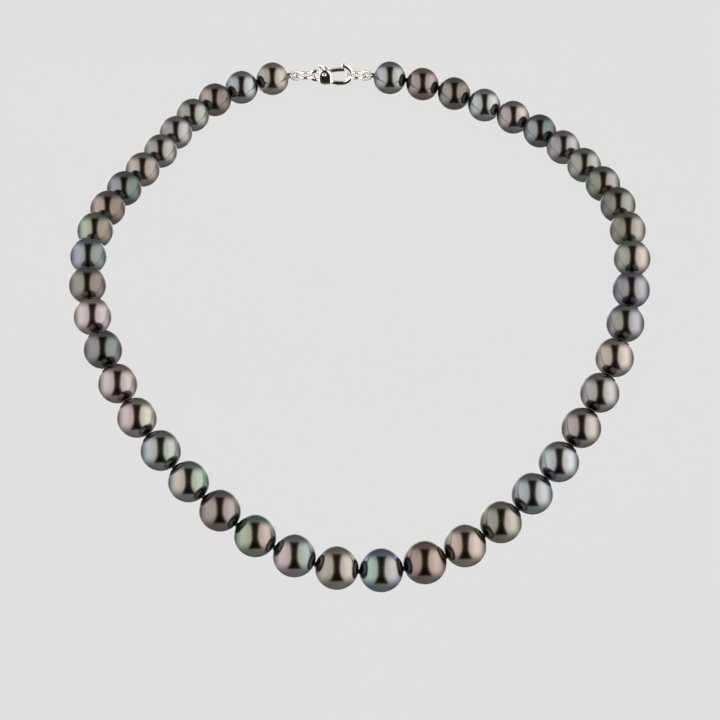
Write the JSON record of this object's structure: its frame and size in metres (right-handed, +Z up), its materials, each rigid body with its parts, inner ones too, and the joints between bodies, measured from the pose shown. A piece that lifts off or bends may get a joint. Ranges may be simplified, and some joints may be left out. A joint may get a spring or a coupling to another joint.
{
  "type": "pearl necklace",
  "caption": "Graduated strand of round dark pearls, knotted on silk, with a lobster clasp at the nape, held in its worn shape.",
  "frame": {"origin": "middle of the clasp at the nape, halfway between the two end knots", "axes": "+X to the right as seen from the front, -Y towards the front of the neck, +Z up"},
  "size_m": [0.1342, 0.1231, 0.0905],
  "materials": {
    "nacre": "dark nacre with green, rose and blue overtones, high lustre",
    "silk": "twisted black silk, knotted",
    "white_gold": "polished, rhodium plated white gold",
    "bullion": "coiled French wire",
    "spring_steel": "drawn spring wire"
  },
  "bodies": {
    "clasp": {"lobster_claw_body": "white_gold", "gate_pin": "white_gold", "gate_spring": "spring_steel", "jump_ring": "white_gold", "end_ring": "white_gold", "bullion_left": "bullion", "bullion_right": "bullion", "silk_thread": "silk"},
    "gate": {"lobster_gate": "white_gold"},
    "pair_01": {"pearl_left_01": "nacre", "pearl_right_01": "nacre"},
    "pair_02": {"pearl_left_02": "nacre", "pearl_right_02": "nacre"},
    "pair_03": {"pearl_left_03": "nacre", "pearl_right_03": "nacre"},
    "pair_04": {"pearl_left_04": "nacre", "pearl_right_04": "nacre"},
    "pair_05": {"pearl_left_05": "nacre", "pearl_right_05": "nacre"},
    "pair_06": {"pearl_left_06": "nacre", "pearl_right_06": "nacre"},
    "pair_07": {"pearl_left_07": "nacre", "pearl_right_07": "nacre"},
    "pair_08": {"pearl_left_08": "nacre", "pearl_right_08": "nacre"},
    "pair_09": {"pearl_left_09": "nacre", "pearl_right_09": "nacre"},
    "pair_10": {"pearl_left_10": "nacre", "pearl_right_10": "nacre"},
    "pair_11": {"pearl_left_11": "nacre", "pearl_right_11": "nacre"},
    "pair_12": {"pearl_left_12": "nacre", "pearl_right_12": "nacre"},
    "pair_13": {"pearl_left_13": "nacre", "pearl_right_13": "nacre"},
    "pair_14": {"pearl_left_14": "nacre", "pearl_right_14": "nacre"},
    "pair_15": {"pearl_left_15": "nacre", "pearl_right_15": "nacre"},
    "pair_16": {"pearl_left_16": "nacre", "pearl_right_16": "nacre"},
    "pair_17": {"pearl_left_17": "nacre", "pearl_right_17": "nacre"},
    "pair_18": {"pearl_left_18": "nacre", "pearl_right_18": "nacre"},
    "pair_19": {"pearl_left_19": "nacre", "pearl_right_19": "nacre"},
    "pair_20": {"pearl_left_20": "nacre", "pearl_right_20": "nacre"},
    "pair_21": {"pearl_left_21": "nacre", "pearl_right_21": "nacre"},
    "pair_22": {"pearl_left_22": "nacre", "pearl_right_22": "nacre"},
    "centre": {"pearl_centre": "nacre"}
  },
  "joints": [
    {"name": "gate_hinge", "type": "hinge", "parent": "clasp", "child": "gate", "pos_m": [-0.0016, 0, 0.00075], "axis": [0, 1, 0], "range_deg": [0, 24], "stiffness_Nm_per_rad": 0.002, "springref_deg": -28.65, "deforming": ["gate_spring"]},
    {"name": "flex_01", "type": "hinge", "parent": "clasp", "child": "pair_01", "pos_m": [-0.01016, 0, 0], "axis": [1, 0, 0], "range_deg": [-15, 15], "deforming": ["silk_thread"]},
    {"name": "flex_02", "type": "hinge", "parent": "pair_01", "child": "pair_02", "pos_m": [-0.01797, -0.00219, -0.00098], "axis": [-0.9998, -0.0188, -0.007], "range_deg": [-15, 15], "deforming": ["silk_thread"]},
    {"name": "flex_03", "type": "hinge", "parent": "pair_02", "child": "pair_03", "pos_m": [-0.02493, -0.00623, -0.00243], "axis": [0.9988, 0.0476, 0.0084], "range_deg": [-15, 15], "deforming": ["silk_thread"]},
    {"name": "flex_04", "type": "hinge", "parent": "pair_03", "child": "pair_04", "pos_m": [-0.03063, -0.01182, -0.00424], "axis": [-0.997, -0.0767, -0.0062], "range_deg": [-15, 15], "deforming": ["silk_thread"]},
    {"name": "flex_05", "type": "hinge", "parent": "pair_04", "child": "pair_05", "pos_m": [-0.03513, -0.01833, -0.00633], "axis": [0.9949, 0.1002, 0.0094], "range_deg": [-15, 15], "deforming": ["silk_thread"]},
    {"name": "flex_06", "type": "hinge", "parent": "pair_05", "child": "pair_06", "pos_m": [-0.03826, -0.02555, -0.00861], "axis": [-0.9927, -0.1194, -0.0153], "range_deg": [-15, 15], "deforming": ["silk_thread"]},
    {"name": "flex_07", "type": "hinge", "parent": "pair_06", "child": "pair_07", "pos_m": [-0.04198, -0.03259, -0.01094], "axis": [0.9923, 0.1231, 0.0171], "range_deg": [-15, 15], "deforming": ["silk_thread"]},
    {"name": "flex_08", "type": "hinge", "parent": "pair_07", "child": "pair_08", "pos_m": [-0.04629, -0.0394, -0.01332], "axis": [-0.9931, -0.1164, -0.0162], "range_deg": [-15, 15], "deforming": ["silk_thread"]},
    {"name": "flex_09", "type": "hinge", "parent": "pair_08", "child": "pair_09", "pos_m": [-0.05013, -0.04661, -0.01574], "axis": [0.9937, 0.1107, 0.0162], "range_deg": [-15, 15], "deforming": ["silk_thread"]},
    {"name": "flex_10", "type": "hinge", "parent": "pair_09", "child": "pair_10", "pos_m": [-0.0534, -0.05423, -0.01814], "axis": [-0.9942, -0.1062, -0.0162], "range_deg": [-15, 15], "deforming": ["silk_thread"]},
    {"name": "flex_11", "type": "hinge", "parent": "pair_10", "child": "pair_11", "pos_m": [-0.05538, -0.06211, -0.02135], "axis": [0.9945, 0.1036, 0.0161], "range_deg": [-15, 15], "deforming": ["silk_thread"]},
    {"name": "flex_12", "type": "hinge", "parent": "pair_11", "child": "pair_12", "pos_m": [-0.05594, -0.07001, -0.02532], "axis": [-0.9946, -0.1025, -0.0164], "range_deg": [-15, 15], "deforming": ["silk_thread"]},
    {"name": "flex_13", "type": "hinge", "parent": "pair_12", "child": "pair_13", "pos_m": [-0.05518, -0.0776, -0.03006], "axis": [0.9946, 0.1029, 0.0162], "range_deg": [-15, 15], "deforming": ["silk_thread"]},
    {"name": "flex_14", "type": "hinge", "parent": "pair_13", "child": "pair_14", "pos_m": [-0.05308, -0.08461, -0.03544], "axis": [-0.9944, -0.1044, -0.0155], "range_deg": [-15, 15], "deforming": ["silk_thread"]},
    {"name": "flex_15", "type": "hinge", "parent": "pair_14", "child": "pair_15", "pos_m": [-0.05001, -0.09099, -0.04133], "axis": [0.9942, 0.1066, 0.0154], "range_deg": [-15, 15], "deforming": ["silk_thread"]},
    {"name": "flex_16", "type": "hinge", "parent": "pair_15", "child": "pair_16", "pos_m": [-0.04603, -0.09658, -0.04765], "axis": [-0.9939, -0.1093, -0.0161], "range_deg": [-15, 15], "deforming": ["silk_thread"]},
    {"name": "flex_17", "type": "hinge", "parent": "pair_16", "child": "pair_17", "pos_m": [-0.04103, -0.10157, -0.05391], "axis": [0.9935, 0.1129, 0.0152], "range_deg": [-15, 15], "deforming": ["silk_thread"]},
    {"name": "flex_18", "type": "hinge", "parent": "pair_17", "child": "pair_18", "pos_m": [-0.03508, -0.1059, -0.06], "axis": [-0.9929, -0.118, -0.0115], "range_deg": [-15, 15], "deforming": ["silk_thread"]},
    {"name": "flex_19", "type": "hinge", "parent": "pair_18", "child": "pair_19", "pos_m": [-0.02833, -0.10953, -0.0659], "axis": [0.9923, 0.1232, 0.0088], "range_deg": [-15, 15], "deforming": ["silk_thread"]},
    {"name": "flex_20", "type": "hinge", "parent": "pair_19", "child": "pair_20", "pos_m": [-0.02087, -0.11241, -0.07153], "axis": [-0.9916, -0.1289, -0.0076], "range_deg": [-15, 15], "deforming": ["silk_thread"]},
    {"name": "flex_21", "type": "hinge", "parent": "pair_20", "child": "pair_21", "pos_m": [-0.01242, -0.11432, -0.0763], "axis": [0.9911, 0.1328, 0.0077], "range_deg": [-15, 15], "deforming": ["silk_thread"]},
    {"name": "flex_22", "type": "hinge", "parent": "pair_21", "child": "pair_22", "pos_m": [-0.0032, -0.11519, -0.08007], "axis": [-0.9912, -0.132, -0.0102], "range_deg": [-15, 15], "deforming": ["silk_thread"]},
    {"name": "centre_spin", "type": "hinge", "parent": "pair_22", "child": "centre", "pos_m": [0.01181, -0.11428, -0.0819], "axis": [0.9912, 0.1315, 0.0153], "continuous": true}
  ]
}
